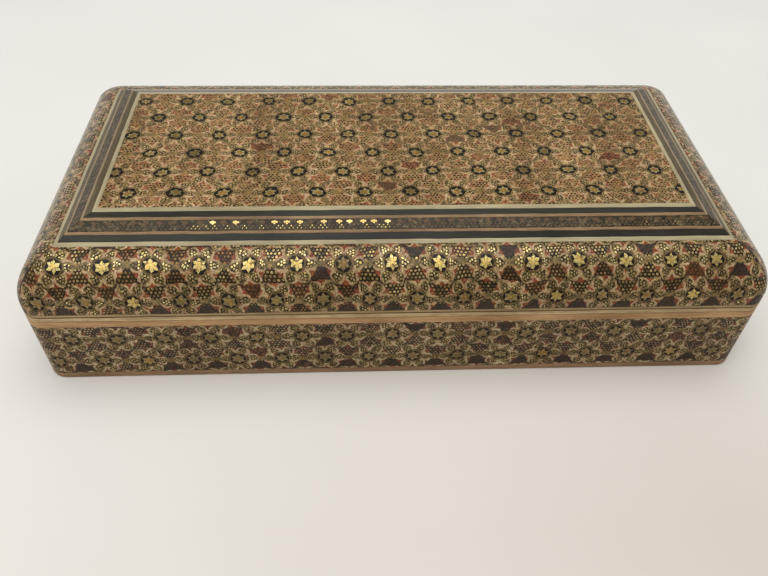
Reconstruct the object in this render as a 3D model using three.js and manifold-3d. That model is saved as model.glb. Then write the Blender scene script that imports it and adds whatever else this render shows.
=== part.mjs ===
// Khatam jewelry box: a rectangular wooden box with a hinged, round-shouldered lid.
// Thin sheets of khatam marquetry cover the walls and the lid, and frames of bone,
// ebony and fine khatam step up to the flat panel on top of the lid.
// Millimetres, +Z up, +X along the length, the front faces -Y. The box stands on z = 0.

import * as THREE from 'three';
import { mergeVertices } from 'three/addons/utils/BufferGeometryUtils.js';
import Module from 'manifold-3d';

const wasm = await Module();
wasm.setup();

// Overall box
const boxLength = 240;
const boxDepth = 118;
const bodyHeight = 30.2;
const seamGap = 0.3;
const cornerRadius = 6;
const mitreRadius = 0.4;

// Boards, khatam sheets and their glue
const skin = 1.8;
const glueLine = 0.1;
const wallCore = 6;
const bottomThickness = 4;

// Strips on the outside of the body
const baseEdgingHeight = 2.6;
const rimBoneHeight = 1.5;
const rimJoint = 0.2;
const rimWoodHeight = 2.6;

// Lid: a short upright edge, then a quarter-ellipse shoulder
const lidStripHeight = 1.2;
const uprightHeight = 3.5;
const shoulderRun = 12.6;
const shoulderRise = 15.2;
const shoulderSteps = 8;
const railSteps = 3;
// Its corners stay round and sharpen to a mitre only near the crown: the higher this
// number, the nearer to it
const crownSharpening = 4;

// Frames that climb from the shoulder to the panel: how far each runs in and rises
const outerBoneRun = 1.4;
const outerBoneRise = 0.65;
const outerEbonyRun = 1.85;
const outerEbonyRise = 1.35;
const outerLineRun = 0.9;
const outerLineRise = 0.45;
const fineKhatamRun = 3.35;
const fineKhatamRise = 1.7;
const innerLineRun = 1.0;
const innerLineRise = 0.4;
const innerEbonyRun = 2.2;
const innerEbonyRise = 0.45;
const innerBoneRun = 1.6;
const innerBoneRise = 0.4;

// Velvet lining
const liningThickness = 1;
const liningDrop = 2.5;

// Hinges, one towards each end of the back
const hingeSpacing = 144;
const leafLength = 18;
const leafDepth = 8;
const leafThickness = 0.7;
const recessGap = 0.15;
const barrelRadius = 1.5;
const barrelGap = 0.1;
const knuckleGap = 0.3;
const middleKnuckle = 6;
const pinRadius = 0.6;
const pinGap = 0.1;

// Nails that hold the hinge leaves
const nailMargin = 3.5;
const nailSetback = 4.5;
const nailLength = 4;
const nailRadius = 0.45;
const nailHeadRadius = 0.9;
const nailHeadThickness = 0.35;
const nailGap = 0.15;

// How far a cutting shape runs past the faces that it cuts
const cutReach = 1;

// Roundness of the meshes
const cornerSteps = 8;
const roundSteps = 24;
const nailSteps = 12;

// Places worked out from the sizes above
const coreInset = skin + glueLine;
const innerInset = coreInset + wallCore;
const lidBase = bodyHeight + seamGap;
const shoulderBase = lidBase + uprightHeight;
const shoulderTop = shoulderBase + shoulderRise;
const rimBoneBase = bodyHeight - rimBoneHeight;
const rimWoodTop = rimBoneBase - rimJoint;
const rimWoodBase = rimWoodTop - rimWoodHeight;
const backFace = boxDepth / 2;
const hingeY = backFace + barrelGap + barrelRadius;
const hingeZ = bodyHeight + seamGap / 2;
const rearReach = hingeY + barrelRadius - backFace;

// The frames, outermost first
const frames = [
  { name: 'outer_bone_frame', run: outerBoneRun, rise: outerBoneRise, finish: 'bone' },
  { name: 'outer_ebony_frame', run: outerEbonyRun, rise: outerEbonyRise, finish: 'ebony' },
  { name: 'outer_line_frame', run: outerLineRun, rise: outerLineRise, finish: 'line' },
  { name: 'fine_khatam_frame', run: fineKhatamRun, rise: fineKhatamRise, finish: 'band' },
  { name: 'inner_line_frame', run: innerLineRun, rise: innerLineRise, finish: 'line' },
  { name: 'inner_ebony_frame', run: innerEbonyRun, rise: innerEbonyRise, finish: 'ebony' },
  { name: 'inner_bone_frame', run: innerBoneRun, rise: innerBoneRise, finish: 'bone' },
];

const finishes = {
  pine: { color: 0xb98f5e, roughness: 0.7, metalness: 0 },
  khatam: { color: 0x8a7350, roughness: 0.35, metalness: 0 },
  panel: { color: 0xa08862, roughness: 0.35, metalness: 0 },
  bone: { color: 0xc9bf9c, roughness: 0.4, metalness: 0 },
  ebony: { color: 0x3d3b38, roughness: 0.35, metalness: 0 },
  line: { color: 0x967659, roughness: 0.45, metalness: 0 },
  band: { color: 0x554634, roughness: 0.35, metalness: 0 },
  edging: { color: 0xa5814f, roughness: 0.5, metalness: 0 },
  velvet: { color: 0x6b1020, roughness: 0.95, metalness: 0 },
  brass: { color: 0xb8923f, roughness: 0.35, metalness: 1 },
};

const sides = ['front', 'right', 'back', 'left'];
const cornerSigns = [[-1, -1], [1, -1], [1, 1], [-1, 1]];
const cornerPoints = cornerSteps + 1;
const ringPoints = 4 * cornerPoints;
const mitreStep = cornerSteps / 2;

function cornerRadiusAt(inset) {
  return Math.max(cornerRadius - inset, mitreRadius);
}

// The box's plan outline, set in from its faces: a rectangle with round corners. Without
// a radius of their own these share their centres with the outermost ones. The points
// start at the front left corner and run past the front.
function planRing(inset, radius = cornerRadiusAt(inset)) {
  const centreX = boxLength / 2 - inset - radius;
  const centreY = boxDepth / 2 - inset - radius;
  const ring = [];
  cornerSigns.forEach(([signX, signY], corner) => {
    for (let step = 0; step <= cornerSteps; step += 1) {
      const angle = (Math.PI / 2) * (2 + corner + step / cornerSteps);
      const x = signX * centreX + radius * Math.cos(angle);
      const y = signY * centreY + radius * Math.sin(angle);
      ring.push([x, y]);
    }
  });
  return ring;
}

function signedVolume(positions, indices) {
  const a = new THREE.Vector3();
  const b = new THREE.Vector3();
  const c = new THREE.Vector3();
  let sum = 0;
  for (let i = 0; i < indices.length; i += 3) {
    a.fromArray(positions, indices[i] * 3);
    b.fromArray(positions, indices[i + 1] * 3);
    c.fromArray(positions, indices[i + 2] * 3);
    sum += a.dot(b.cross(c));
  }
  return sum;
}

// A closed geometry from points and triangles, turned so that its faces point out
function closedGeometry(positions, indices) {
  if (signedVolume(positions, indices) < 0) {
    indices.reverse();
  }
  const geometry = new THREE.BufferGeometry();
  geometry.setAttribute('position', new THREE.Float32BufferAttribute(positions, 3));
  geometry.setIndex(indices);
  geometry.computeVertexNormals();
  return geometry;
}

// Triangles of a section, all wound the way its outline runs
function sectionTriangles(section) {
  const outline = section.map(([inset, z]) => new THREE.Vector2(inset, z));
  const outlineSign = Math.sign(THREE.ShapeUtils.area(outline));
  return THREE.ShapeUtils.triangulateShape(outline, []).map((triangle) => {
    const corners = triangle.map((index) => outline[index]);
    const sign = Math.sign(THREE.ShapeUtils.area(corners));
    return sign === outlineSign ? triangle : [...triangle].reverse();
  });
}

// Sweeps a section of [inset, z] or [inset, z, corner radius] points round the plan
// outline. A whole ring closes on itself; a stretch from one mitre to the next is closed
// with a cut at each end.
function sweepSection(section, start, steps) {
  const rings = section.map(([inset, , radius]) => planRing(inset, radius));
  const whole = steps === ringPoints;
  const stations = whole ? steps : steps + 1;
  const size = section.length;
  const positions = [];
  for (let station = 0; station < stations; station += 1) {
    const at = (start + station) % ringPoints;
    section.forEach(([, z], i) => positions.push(...rings[i][at], z));
  }
  const indices = [];
  for (let step = 0; step < steps; step += 1) {
    const near = step * size;
    const far = ((step + 1) % stations) * size;
    for (let i = 0; i < size; i += 1) {
      const next = (i + 1) % size;
      indices.push(near + i, near + next, far + next);
      indices.push(near + i, far + next, far + i);
    }
  }
  if (!whole) {
    const last = steps * size;
    for (const [a, b, c] of sectionTriangles(section)) {
      indices.push(a, c, b);
      indices.push(last + a, last + b, last + c);
    }
  }
  return closedGeometry(positions, indices);
}

function sweepSide(section, side) {
  const start = sides.indexOf(side) * cornerPoints + mitreStep;
  return sweepSection(section, start, cornerPoints);
}

function sweepRing(section) {
  return sweepSection(section, 0, ringPoints);
}

// A board or sheet built from [inset, z] outlines, lowest first, filled across its ends
function stackOutlines(outlines) {
  const positions = [];
  for (const [inset, z, radius] of outlines) {
    planRing(inset, radius).forEach(([x, y]) => positions.push(x, y, z));
  }
  const indices = [];
  for (let level = 0; level + 1 < outlines.length; level += 1) {
    const low = level * ringPoints;
    const high = low + ringPoints;
    for (let i = 0; i < ringPoints; i += 1) {
      const next = (i + 1) % ringPoints;
      indices.push(low + i, low + next, high + next);
      indices.push(low + i, high + next, high + i);
    }
  }
  const top = (outlines.length - 1) * ringPoints;
  for (let i = 1; i + 1 < ringPoints; i += 1) {
    indices.push(0, i + 1, i);
    indices.push(top, top + i, top + i + 1);
  }
  return closedGeometry(positions, indices);
}

function rectangleSection(inset, width, low, high) {
  return [[inset, low], [inset + width, low], [inset + width, high], [inset, high]];
}

// One point of the lid's shoulder, set in from its outer surface by a depth, and the
// radius of the corners there
function shoulderPoint(step, depth) {
  const angle = (Math.PI / 2) * (step / shoulderSteps);
  const cosine = step === shoulderSteps ? 0 : Math.cos(angle);
  const sine = Math.sin(angle);
  const slope = Math.hypot(shoulderRise * cosine, shoulderRun * sine);
  const inset = shoulderRun - cosine * (shoulderRun - (depth * shoulderRise) / slope);
  const z = shoulderBase + sine * (shoulderRise - (depth * shoulderRun) / slope);
  const surfaceRadius = cornerRadius * (1 - (1 - cosine) ** crownSharpening);
  const radius = surfaceRadius - (inset - shoulderRun * (1 - cosine));
  return [inset, z, Math.max(radius, mitreRadius)];
}

function shoulderCurve(depth, firstStep, lastStep) {
  const points = [];
  for (let step = firstStep; step <= lastStep; step += 1) {
    points.push(shoulderPoint(step, depth));
  }
  return points;
}

// The top surface over the shoulder's inner edge: where each frame starts and ends
function framePlaces() {
  const places = [];
  let inset = shoulderRun;
  let z = shoulderTop;
  for (const frame of frames) {
    const start = [inset, z];
    inset += frame.run;
    z += frame.rise;
    places.push({ ...frame, start, end: [inset, z] });
  }
  return places;
}

const placedFrames = framePlaces();
const [panelInset, panelTop] = placedFrames.at(-1).end;
const boardBase = shoulderPoint(railSteps, coreInset)[1];

function toSolid(geometry) {
  const bare = geometry.clone();
  bare.deleteAttribute('normal');
  bare.deleteAttribute('uv');
  const merged = mergeVertices(bare, 1e-4);
  const vertProperties = new Float32Array(merged.attributes.position.array);
  const triVerts = new Uint32Array(merged.index.array);
  return new wasm.Manifold(new wasm.Mesh({ numProp: 3, vertProperties, triVerts }));
}

function fromSolid(solid) {
  const mesh = solid.getMesh();
  const geometry = new THREE.BufferGeometry();
  geometry.setAttribute('position', new THREE.BufferAttribute(mesh.vertProperties, 3));
  geometry.setIndex(new THREE.BufferAttribute(mesh.triVerts, 1));
  geometry.computeVertexNormals();
  return geometry;
}

function cutAll(geometry, cutters) {
  let solid = toSolid(geometry);
  for (const cutter of cutters) {
    solid = solid.subtract(toSolid(cutter));
  }
  return fromSolid(solid);
}

function box(lowX, highX, lowY, highY, lowZ, highZ) {
  const geometry = new THREE.BoxGeometry(highX - lowX, highY - lowY, highZ - lowZ);
  geometry.translate((lowX + highX) / 2, (lowY + highY) / 2, (lowZ + highZ) / 2);
  return geometry;
}

// A cylinder along X, about the hinge line
function hingeCylinder(radius, lowX, highX) {
  const geometry = new THREE.CylinderGeometry(radius, radius, highX - lowX, roundSteps);
  geometry.rotateZ(Math.PI / 2);
  geometry.translate((lowX + highX) / 2, hingeY, hingeZ);
  return geometry;
}

// An upright cylinder between two heights
function uprightCylinder(radius, x, y, low, high) {
  const geometry = new THREE.CylinderGeometry(radius, radius, high - low, nailSteps);
  geometry.rotateX(Math.PI / 2);
  geometry.translate(x, y, (low + high) / 2);
  return geometry;
}

// What differs between the leaf on the body and the leaf on the lid: the face that its
// plate is flush with, and the way its nails point
const leafKinds = {
  body: { face: bodyHeight, into: -1 },
  lid: { face: lidBase, into: 1 },
};

function ordered(a, b) {
  return a < b ? [a, b] : [b, a];
}

// The stretches along X where a leaf carries its knuckles
function knuckleStretches(kind) {
  const half = leafLength / 2;
  const middle = middleKnuckle / 2;
  if (kind === 'lid') {
    return [[-middle, middle]];
  }
  return [[-half, -middle - knuckleGap], [middle + knuckleGap, half]];
}

function nailPlaces() {
  const y = backFace - nailSetback;
  return [-1, 1].map((sign) => [sign * (leafLength / 2 - nailMargin), y]);
}

// One hinge leaf: a flat plate, its knuckles, the pin's bore and countersunk nail holes
function leafGeometry(kind) {
  const { face, into } = leafKinds[kind];
  const [low, high] = ordered(face, face + into * leafThickness);
  const half = leafLength / 2;
  const plateEnd = hingeY - barrelRadius - knuckleGap;
  let solid = toSolid(box(-half, half, backFace - leafDepth, plateEnd, low, high));
  for (const [from, to] of knuckleStretches(kind)) {
    const reach = plateEnd - knuckleGap;
    solid = solid.add(toSolid(box(from, to, reach, hingeY, low, high)));
    solid = solid.add(toSolid(hingeCylinder(barrelRadius, from, to)));
  }
  const boreReach = half + knuckleGap;
  solid = solid.subtract(toSolid(hingeCylinder(pinRadius + pinGap, -boreReach, boreReach)));
  for (const [x, y] of nailPlaces()) {
    const outside = face - into * cutReach;
    const headSeat = face + into * (nailHeadThickness + nailGap / 2);
    const through = face + into * (leafThickness + cutReach);
    const head = uprightCylinder(nailHeadRadius + nailGap, x, y, ...ordered(outside, headSeat));
    const shank = uprightCylinder(nailRadius + nailGap, x, y, ...ordered(outside, through));
    solid = solid.subtract(toSolid(head)).subtract(toSolid(shank));
  }
  return fromSolid(solid);
}

// A nail with a flat head, its head's top at z = 0 and its point downwards
function nailGeometry() {
  const profile = [
    new THREE.Vector2(0, -nailLength),
    new THREE.Vector2(nailRadius, -nailLength + 2 * nailRadius),
    new THREE.Vector2(nailRadius, -nailHeadThickness),
    new THREE.Vector2(nailHeadRadius, -nailHeadThickness),
    new THREE.Vector2(nailHeadRadius, 0),
    new THREE.Vector2(0, 0),
  ];
  const geometry = new THREE.LatheGeometry(profile, nailSteps);
  geometry.rotateX(Math.PI / 2);
  return geometry;
}

// What both hinges cut from the wood behind them: the seats of their leaves and nails
function hingeCutters(kind) {
  const { face, into } = leafKinds[kind];
  const half = leafLength / 2 + recessGap;
  const seat = ordered(face - into * cutReach, face + into * (leafThickness + recessGap));
  const cutters = [];
  for (const sign of [-1, 1]) {
    const x = (sign * hingeSpacing) / 2;
    const front = backFace - leafDepth - recessGap;
    cutters.push(box(x - half, x + half, front, backFace + cutReach, ...seat));
    for (const [nailX, y] of nailPlaces()) {
      const hole = ordered(face, face + into * (nailLength + nailGap));
      cutters.push(uprightCylinder(nailRadius + nailGap, x + nailX, y, ...hole));
    }
  }
  return cutters;
}

function piece(name, geometry, finish) {
  const mesh = new THREE.Mesh(geometry, new THREE.MeshStandardMaterial(finishes[finish]));
  mesh.name = name;
  return mesh;
}

// Four mitred lengths of one section, one on each side of the box. The back length can
// be cut away for the hinges.
function fourSides(prefix, section, finish, backCutters = []) {
  return sides.map((side) => {
    const swept = sweepSide(section, side);
    const cut = side === 'back' && backCutters.length > 0;
    const geometry = cut ? cutAll(swept, backCutters) : swept;
    return piece(`${prefix}_${side}`, geometry, finish);
  });
}

function buildBody() {
  const body = new THREE.Group();
  const cutters = hingeCutters('body');
  const floorTop = bottomThickness + liningThickness;
  const liningTop = bodyHeight - liningDrop;
  const wall = rectangleSection(coreInset, wallCore, bottomThickness, bodyHeight);
  const edging = rectangleSection(0, skin, 0, baseEdgingHeight);
  const khatam = rectangleSection(0, skin, baseEdgingHeight, rimWoodBase);
  const rimWood = rectangleSection(0, skin, rimWoodBase, rimWoodTop);
  const rimBone = rectangleSection(0, skin, rimBoneBase, bodyHeight);
  const lining = rectangleSection(innerInset, liningThickness, floorTop, liningTop);
  const bottomBoard = stackOutlines([[coreInset, 0], [coreInset, bottomThickness]]);
  const floorLining = stackOutlines([[innerInset, bottomThickness], [innerInset, floorTop]]);
  body.add(piece('bottom_board', bottomBoard, 'pine'));
  body.add(...fourSides('wall', wall, 'pine', cutters));
  body.add(...fourSides('base_edging', edging, 'edging'));
  body.add(...fourSides('body_khatam', khatam, 'khatam'));
  body.add(...fourSides('rim_wood', rimWood, 'edging'));
  body.add(...fourSides('rim_bone', rimBone, 'bone', cutters));
  body.add(piece('floor_lining', floorLining, 'velvet'));
  body.add(piece('body_side_lining', sweepRing(lining), 'velvet'));
  return body;
}

// A rail of the lid: upright at its foot, then following the shoulder from within
function railSection() {
  const outer = shoulderCurve(coreInset, 0, railSteps);
  return [[innerInset, boardBase], [innerInset, lidBase], [coreInset, lidBase], ...outer];
}

// A khatam sheet bent over the lid's edge and shoulder
function shoulderSection() {
  const outer = shoulderCurve(0, 0, shoulderSteps);
  const inner = shoulderCurve(skin, 0, shoulderSteps).reverse();
  const low = lidBase + lidStripHeight;
  return [[0, low], ...outer, ...inner, [skin, low]];
}

function frameSection({ start, end }) {
  const [startInset, startZ] = start;
  const [endInset, endZ] = end;
  return [[startInset, startZ - skin], [endInset, endZ - skin], [endInset, endZ], [startInset, startZ]];
}

// The lid's top board: its edge carries on the rails' curve, then climbs under the frames
function topBoardOutlines() {
  const outlines = shoulderCurve(coreInset, railSteps, shoulderSteps);
  for (const { end } of placedFrames) {
    outlines.push([end[0], end[1] - coreInset]);
  }
  return outlines;
}

function buildLid() {
  const lid = new THREE.Group();
  const cutters = hingeCutters('lid');
  const ceiling = boardBase - liningThickness;
  const strip = rectangleSection(0, skin, lidBase, lidBase + lidStripHeight);
  const lining = rectangleSection(innerInset, liningThickness, lidBase + liningDrop, ceiling);
  const panel = stackOutlines([[panelInset, panelTop - skin], [panelInset, panelTop]]);
  const topLining = stackOutlines([[innerInset, ceiling], [innerInset, boardBase]]);
  lid.add(piece('lid_top_board', stackOutlines(topBoardOutlines()), 'pine'));
  lid.add(...fourSides('lid_rail', railSection(), 'pine', cutters));
  lid.add(...fourSides('lid_strip', strip, 'line', cutters));
  lid.add(...fourSides('lid_khatam', shoulderSection(), 'khatam'));
  for (const frame of placedFrames) {
    lid.add(piece(frame.name, sweepRing(frameSection(frame)), frame.finish));
  }
  lid.add(piece('lid_panel', panel, 'panel'));
  lid.add(piece('lid_top_lining', topLining, 'velvet'));
  lid.add(piece('lid_side_lining', sweepRing(lining), 'velvet'));
  return lid;
}

function buildHinge(side, x) {
  const hinge = new THREE.Group();
  hinge.position.x = x;
  const half = leafLength / 2;
  hinge.add(piece(`hinge_pin_${side}`, hingeCylinder(pinRadius, -half, half), 'brass'));
  for (const kind of Object.keys(leafKinds)) {
    const { face, into } = leafKinds[kind];
    hinge.add(piece(`${kind}_hinge_leaf_${side}`, leafGeometry(kind), 'brass'));
    nailPlaces().forEach(([nailX, nailY], index) => {
      const nail = piece(`${kind}_hinge_nail_${side}_${index + 1}`, nailGeometry(), 'brass');
      nail.position.set(nailX, nailY, face);
      nail.rotation.x = into > 0 ? Math.PI : 0;
      hinge.add(nail);
    });
  }
  return hinge;
}

// The hinge knuckles stand behind the back, so the whole is moved forward by half their
// reach: its footprint is then centred on the origin.
const jewelryBox = new THREE.Group();
jewelryBox.position.y = -rearReach / 2;
jewelryBox.add(buildBody());
jewelryBox.add(buildLid());
jewelryBox.add(buildHinge('left', -hingeSpacing / 2));
jewelryBox.add(buildHinge('right', hingeSpacing / 2));

export default jewelryBox;
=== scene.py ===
# The looks of a khatam jewelry box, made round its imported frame. Lengths named here are in
# millimetres unless a comment says otherwise; meshes are in metres.

import math

import bpy
from mathutils import Matrix, Vector, noise


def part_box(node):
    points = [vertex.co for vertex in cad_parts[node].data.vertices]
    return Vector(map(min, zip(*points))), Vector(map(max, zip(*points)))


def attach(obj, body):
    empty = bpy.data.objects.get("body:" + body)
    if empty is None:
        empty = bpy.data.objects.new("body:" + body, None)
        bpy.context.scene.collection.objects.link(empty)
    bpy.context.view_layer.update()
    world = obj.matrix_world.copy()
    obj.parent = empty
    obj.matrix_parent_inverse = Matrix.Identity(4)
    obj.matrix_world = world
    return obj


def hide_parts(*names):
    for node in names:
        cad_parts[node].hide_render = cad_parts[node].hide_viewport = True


MM = 0.001

# The body, as in the part's source
BOX_LENGTH = 240
BOX_DEPTH = 118
BODY_HEIGHT = 30.2
SEAM_GAP = 0.3
CORNER_RADIUS = 6
MITRE_RADIUS = 0.4
REAR_SHIFT = -1.55
SHEET_THICKNESS = 1.8
BASE_EDGING_HEIGHT = 2.6
RIM_BONE_HEIGHT = 1.5
RIM_JOINT = 0.2
RIM_WOOD_HEIGHT = 2.6

# The lid
LID_STRIP_HEIGHT = 1.2
UPRIGHT_HEIGHT = 3.5
SHOULDER_RUN = 12.6
SHOULDER_RISE = 15.2
CROWN_SHARPENING = 4

# The seven frames, outermost first: node, finish, run and rise of its sloped top
FRAME_STRIPS = [
    ("outer_bone_frame", "bone", 1.4, 0.65),
    ("outer_ebony_frame", "ebony", 1.85, 1.35),
    ("outer_line_frame", "line", 0.9, 0.45),
    ("fine_khatam_frame", "fine_khatam", 3.35, 1.7),
    ("inner_line_frame", "line", 1.0, 0.4),
    ("inner_ebony_frame", "ebony", 2.2, 0.45),
    ("inner_bone_frame", "bone", 1.6, 0.4),
]

# Softened edges, and the waver of joints and strips cut by hand
EDGE_ROUNDING = 0.14
INNER_ROUNDING = 0.02
FOOT_ROUNDING = 0.7
RIM_LIP_ROUNDING = 0.3
LID_LIP_ROUNDING = 0.25
JOINT_WAVER = 0.07
JOINT_WAVER_LENGTH = 9.0
JOINT_STEADY_END = 6
STRIP_WAVER = 0.45
STRIP_WAVER_LENGTH = 11
STRIP_WAVER_DEPTH = 7

# How finely the pieces are drawn
CORNER_TURNS = 6
SHOULDER_TURNS = 22
WALL_STEPS = 12
STRIP_STEP = 4.0
KHATAM_STEP = 2.0

# The velvet linings: cards whose face swells and whose edges roll over, and bands with a
# rolled free edge
PAD_COLUMNS = 96
PAD_ROWS = 44
PAD_SWELL = 0.25
PAD_ROLL = 2.2
PAD_WAVE_LENGTH = 21
LINING_WIDTH = 1.0
LINING_ROUNDINGS = (0.1, 0.1, 0.3, 0.45)

# For six-pointed figures: the sine of 60 degrees, and the root of three
SINE_60 = 0.866
ROOT_3 = 1.732

# The khatam pattern: stars stand this far apart in a row, and the rows this far apart
STAR_PITCH = 15.2
ROW_PITCH = 11.15
STAR_SHARPNESS = 1.4
STAR_HEART = 0.95
PETAL_SEAM = 0.13
RING_LINE_WIDTH = 0.3

# Six clusters of dots stand round a star, each in a loop, and red tips reach in between.
# Places are measured from the star's middle.
LOOP_PLACE = 4.35
LOOP_REACH = 2.25
LOOP_WIDTH = 0.75
LOOP_RAGGED = 1.4
LOOP_PALE_REACH = 2.8
CLUSTER_START = 3.2
CLUSTER_END = 6.4
CLUSTER_DOTS = [(3.65, 0.0), (3.65, 0.95), (4.48, 0.48), (5.3, 0.0)]
CLUSTER_DOT_RADIUS = 0.33
WAIST_HALF = 0.9
RED_TIP_END = 6.1
RED_TIP_HALF = 1.15

# Rods and specks of the ground, and how the sheet wavers
ROD_WIDTH = 0.6
SPECK_PITCH = 1.0
BLOTCH_SIZE = 1.7
WARP_LENGTH = 2.2
WARP_REACH = 1.1
DRIFT_LENGTH = 8.0
DRIFT_REACH = 1.4
STRIP_WIDTH = STAR_PITCH / 2
STRIP_SLIP = 0.3
JOINT_RAGGED = 2.4

# Some fields past these places across a sheet have faded: the place, and the share of fields
# that haven't
FADED_ABOVE = (-0.16 * ROW_PITCH, 0.7)
FADED_BELOW = (1.16 * ROW_PITCH, 0.15)

# How each khatam sheet looks: the lid's panel is pale, its shoulder's brass is bright with a
# painted glint on its first row and painted shade below it, and the walls are darker, partly
# painted shade of their upright faces. Tones are colours from 0 to 255, and a field's ground and
# dots take theirs by chance from 0 to 1. Pitch, radius, reach and half are lengths,
# painted_shade_past is a place across the sheet past which more dots are painted dull, joint is
# how wide the sheets' joint has opened, and the rest are shares.
PANEL_LOOK = {
    "tones": {
        "ground": (148, 121, 68), "olive": (108, 89, 44), "wing": (222, 190, 148),
        "speck": (46, 34, 16), "ring": (36, 27, 12), "red": (160, 76, 50),
        "line": (166, 142, 92), "band": (174, 144, 92),
        "pale_red": (182, 124, 82), "dot": (208, 184, 138), "dull_dot": (170, 142, 92),
        "petal": (186, 172, 122), "dull_petal": (148, 134, 92),
        "heart": (176, 138, 70), "dull_heart": (142, 116, 60),
    },
    "field_ground": [
        (0.0, (198, 168, 116)), (0.6, (194, 156, 106)),
        (0.95, (184, 138, 94)), (1.0, (156, 104, 72)),
    ],
    "field_dots": [(0.0, (32, 23, 8)), (0.6, (38, 26, 10)), (1.0, (70, 40, 22))],
    "dot_pitch": 1.2, "dot_radius": 0.42, "faded_from": 0.985, "faded": (64, 48, 42),
    "speckled": 1.0, "speck_radius": 0.36, "gaps": 0.7, "redness": 0.68, "cluster_half": 1.2,
    "bright": 0.8, "lower_bright": 0.8, "painted_shade_past": 100,
    "star_reach": 2.05, "ring_reach": 2.58, "roundness": 0.0,
    "field_glints": 0.0, "petal_metal": 0.0, "dot_metal": 0.0, "joint": 0,
}
SHOULDER_LOOK = {
    "tones": {
        "ground": (118, 101, 60), "olive": (78, 66, 34), "wing": (218, 189, 148),
        "speck": (204, 182, 134), "ring": (40, 30, 20), "red": (158, 68, 44),
        "line": (134, 114, 74), "band": (170, 148, 100),
        "pale_red": (188, 122, 84), "dot": (255, 234, 172), "dull_dot": (178, 154, 106),
        "petal": (250, 228, 156), "dull_petal": (176, 156, 112),
        "heart": (246, 216, 132), "dull_heart": (180, 150, 84),
    },
    "field_ground": [
        (0.0, (48, 40, 20)), (0.6, (58, 48, 28)), (0.85, (72, 52, 34)), (1.0, (90, 60, 42)),
    ],
    "field_dots": [
        (0.0, (240, 216, 156)), (0.5, (204, 178, 124)),
        (0.85, (172, 136, 92)), (1.0, (152, 102, 68)),
    ],
    "dot_pitch": 1.25, "dot_radius": 0.4, "faded_from": 0.92, "faded": (78, 66, 58),
    "speckled": 0.8, "speck_radius": 0.34, "gaps": 0.85, "redness": 0.8, "cluster_half": 1.5,
    "bright": 0.9, "lower_bright": 0.2, "painted_shade_past": 0.35 * ROW_PITCH,
    "star_reach": 2.3, "ring_reach": 2.36, "roundness": 0.6,
    "field_glints": 0.5, "petal_metal": 0.7, "dot_metal": 1.0, "joint": 0.45,
}
# The walls' brass and ground are duller and darker than the lid's, partly painted shade of their
# upright faces
WALL_LOOK = {
    "tones": {
        "ground": (122, 99, 58), "olive": (92, 74, 40), "wing": (216, 197, 162),
        "speck": (186, 162, 118), "ring": (36, 28, 14), "red": (146, 68, 46),
        "line": (132, 111, 74), "band": (148, 122, 76),
        "pale_red": (156, 102, 74), "dot": (210, 186, 138), "dull_dot": (146, 124, 86),
        "petal": (206, 176, 108), "dull_petal": (166, 149, 108),
        "heart": (192, 160, 92), "dull_heart": (158, 136, 90),
    },
    "field_ground": [
        (0.0, (46, 38, 22)), (0.6, (56, 44, 32)), (0.85, (72, 50, 36)), (1.0, (90, 58, 44)),
    ],
    "field_dots": [(0.0, (204, 182, 142)), (0.6, (186, 160, 124)), (1.0, (150, 104, 82))],
    "dot_pitch": 1.1, "dot_radius": 0.36, "faded_from": 0.95, "faded": (72, 60, 50),
    "speckled": 0.7, "speck_radius": 0.34, "gaps": 0.75, "redness": 0.65, "cluster_half": 1.3,
    "bright": 0.12, "lower_bright": 0.12, "painted_shade_past": 100,
    "star_reach": 2.35, "ring_reach": 2.4, "roundness": 0.6,
    "field_glints": 0.0, "petal_metal": 0.3, "dot_metal": 0.0, "joint": 0,
}

# The lid's ends and back catch more of the room in their thicker lacquer, and their brass is
# dull and not metal. Their dark tones are painted paler and greyer, a painted reflection of the
# pale room.
END_LOOK = dict(SHOULDER_LOOK)
END_LOOK.update({
    "tones": dict(
        SHOULDER_LOOK["tones"], ground=(130, 117, 84), olive=(96, 86, 58), ring=(54, 47, 33),
        dot=(206, 184, 134), petal=(200, 178, 120), heart=(178, 142, 80), red=(142, 76, 54),
    ),
    "field_ground": [(0.0, (64, 54, 36)), (0.6, (76, 62, 42)), (1.0, (100, 70, 54))],
    "field_glints": 0.0, "faded_from": 0.97, "gaps": 0.7, "petal_metal": 0.0, "dot_metal": 0.0,
})

# Woods and bone: the light and the dark tone, how rough, how wide the rings and how long the
# grain. Ebony and lines away from the front are painted paler, a painted reflection of the room
# in their lacquer.
GRAINS = {
    "bone": ((196, 184, 148), (160, 146, 110), 0.34, 1.2, 20),
    "ebony": ((58, 57, 48), (38, 37, 30), 0.3, 1.0, 22),
    "line": ((172, 142, 104), (112, 86, 58), 0.4, 0.9, 16),
    "rim": ((218, 176, 128), (164, 121, 80), 0.42, 1.1, 18),
    "edging": ((178, 142, 106), (124, 94, 68), 0.45, 1.1, 18),
    "lip": ((196, 170, 124), (146, 118, 80), 0.42, 0.8, 26),
    "rim_bone": ((238, 214, 164), (142, 106, 68), 0.4, 0.8, 26),
    "core": ((196, 160, 112), (158, 120, 78), 0.55, 2.4, 14),
}
PAINTED_SHEEN_TONES = {
    "ebony": ((106, 93, 66), (76, 65, 43)),
    "line": ((172, 152, 120), (122, 102, 76)),
}

# Rows of stars on each khatam sheet: distance of the row from the sheet's upper or front
# edge, and the place of one of its stars along the sheet
SHOULDER_ROWS = [(7.0, -106.0), (18.9, -112.5)]
SHOULDER_PITCH = 14.7
WALL_ROWS = [(6.0, -106.8), (17.2, -114.2)]
WALL_PITCH = 14.92
PANEL_ROWS = [
    (6.9, -87.3), (18.2, -78.75), (29.2, -84.4), (40.2, -77.3), (51.5, -85.6), (62.5, -76.9),
]
PANEL_PITCH = 15.25

# How far the stars on a sheet of the ends slide from one side of the box to the next
SIDE_SLIDE = 4.3

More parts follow.
